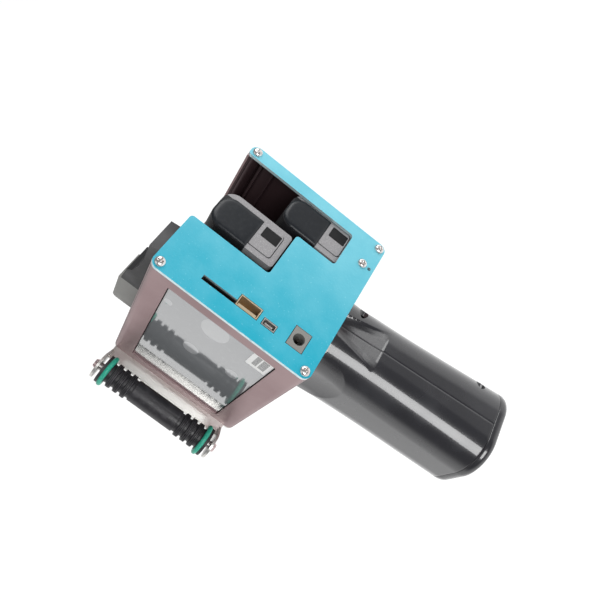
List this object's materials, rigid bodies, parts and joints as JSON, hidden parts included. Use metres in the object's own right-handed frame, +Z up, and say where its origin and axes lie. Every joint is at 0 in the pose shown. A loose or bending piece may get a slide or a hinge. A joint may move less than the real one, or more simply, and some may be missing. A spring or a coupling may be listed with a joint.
{
  "type": "date code inkjet printer",
  "caption": "Hand-held date code inkjet printer: box head with side display, guide rollers, slide-out ink cartridges and a battery grip with a trigger.",
  "frame": {"origin": "middle of the flat base of the grip", "axes": "+Z up the grip to the head, +Y towards the print face, -X towards the display side"},
  "size_m": [0.1576, 0.1288, 0.2234],
  "materials": {
    "anodised_bronze": "satin anodised extrusion, fine lengthwise lines",
    "axle_steel": "ground steel",
    "black_plastic": "fine moulded texture",
    "blue_paint": "satin cyan paint, pale worn cut edges",
    "bolt_steel": "brownish plated button heads",
    "cell_wrap": "shrink wrapped",
    "circuit_board": "green solder resist",
    "display_glass": "switched off touch glass, glossy grey",
    "gold_contacts": "gold plated",
    "grey_plastic": "satin moulded grey",
    "grip_plastic": "glossy moulded black, light scratches",
    "lens": "dark red filter",
    "lid_plastic": "smooth glossy black",
    "nickel": "nickel plated sheet",
    "pale_plastic": "off-white moulded",
    "rubber": "black nitrile rubber, satin",
    "screw_steel": "bright zinc plated, light wear",
    "spring_steel": "drawn wire",
    "stainless": "fine brushed sheet",
    "stall_plastic": "sparkle textured dark grey",
    "teal_rubber": "teal green rubber ring",
    "white_plastic": "connector insulation"
  },
  "bodies": {
    "root": {"battery_cells": "cell_wrap", "battery_end_plates": "white_plastic", "board_standoffs": "gold_contacts", "card_socket": "nickel", "cartridge_1_contacts": "gold_contacts", "cartridge_1_stall": "stall_plastic", "cartridge_2_contacts": "gold_contacts", "cartridge_2_stall": "stall_plastic", "dc_jack_body": "grey_plastic", "dc_jack_pin": "nickel", "display_bezel": "black_plastic", "display_glass": "display_glass", "display_panel": "stainless", "driver_board": "circuit_board", "encoder_pickup": "black_plastic", "front_plate": "stainless", "front_plate_screws": "screw_steel", "grip_base_cap": "grip_plastic", "grip_mount_plate": "stainless", "grip_mount_screws": "screw_steel", "grip_neck_insert": "black_plastic", "grip_screws": "screw_steel", "grip_shell_left": "grip_plastic", "grip_shell_right": "grip_plastic", "housing": "anodised_bronze", "left_axle": "axle_steel", "left_axle_bolts": "bolt_steel", "main_board": "circuit_board", "mini_usb_socket": "nickel", "power_switch_body": "black_plastic", "rear_plate": "blue_paint", "rear_plate_screws": "screw_steel", "right_axle": "axle_steel", "right_axle_bolts": "bolt_steel", "sensor_base": "black_plastic", "sensor_head": "grey_plastic", "sensor_lens": "lens", "trigger_carrier": "black_plastic", "trigger_spring": "spring_steel", "trigger_switch": "black_plastic", "usb_socket": "gold_contacts", "usb_tongue": "white_plastic"},
    "left_roller": {"left_roller_core": "axle_steel", "left_roller_sleeve": "rubber", "left_roller_o_rings": "teal_rubber", "left_roller_end_discs": "black_plastic"},
    "right_roller": {"right_roller_core": "axle_steel", "right_roller_sleeve": "rubber", "right_roller_o_rings": "teal_rubber", "right_roller_end_discs": "black_plastic", "encoder_magnet": "axle_steel"},
    "trigger": {"trigger": "black_plastic"},
    "power_slider": {"power_slider": "pale_plastic"},
    "cartridge_1": {"cartridge_1_tank": "black_plastic", "cartridge_1_lid": "lid_plastic", "cartridge_1_nozzle_plate": "gold_contacts"},
    "cartridge_2": {"cartridge_2_tank": "black_plastic", "cartridge_2_lid": "lid_plastic", "cartridge_2_nozzle_plate": "gold_contacts"}
  },
  "joints": [
    {"name": "left_roller_spin", "type": "hinge", "parent": "root", "child": "left_roller", "pos_m": [-0.0684, 0.0885, 0.16], "axis": [0, 0, 1], "continuous": true},
    {"name": "right_roller_spin", "type": "hinge", "parent": "root", "child": "right_roller", "pos_m": [0.0684, 0.0885, 0.16], "axis": [0, 0, 1], "continuous": true},
    {"name": "trigger_pull", "type": "slide", "parent": "root", "child": "trigger", "axis": [0, -1, 0], "range_m": [0, 0.004], "stiffness_N_per_m": 700, "springref_m": -0.002, "deforming": ["trigger_spring"]},
    {"name": "power_slide", "type": "slide", "parent": "root", "child": "power_slider", "axis": [1, 0, 0], "range_m": [0, 0.003]},
    {"name": "cartridge_1_pull", "type": "slide", "parent": "root", "child": "cartridge_1", "axis": [0, -1, 0], "range_m": [0, 0.09]},
    {"name": "cartridge_2_pull", "type": "slide", "parent": "root", "child": "cartridge_2", "axis": [0, -1, 0], "range_m": [0, 0.09]}
  ]
}
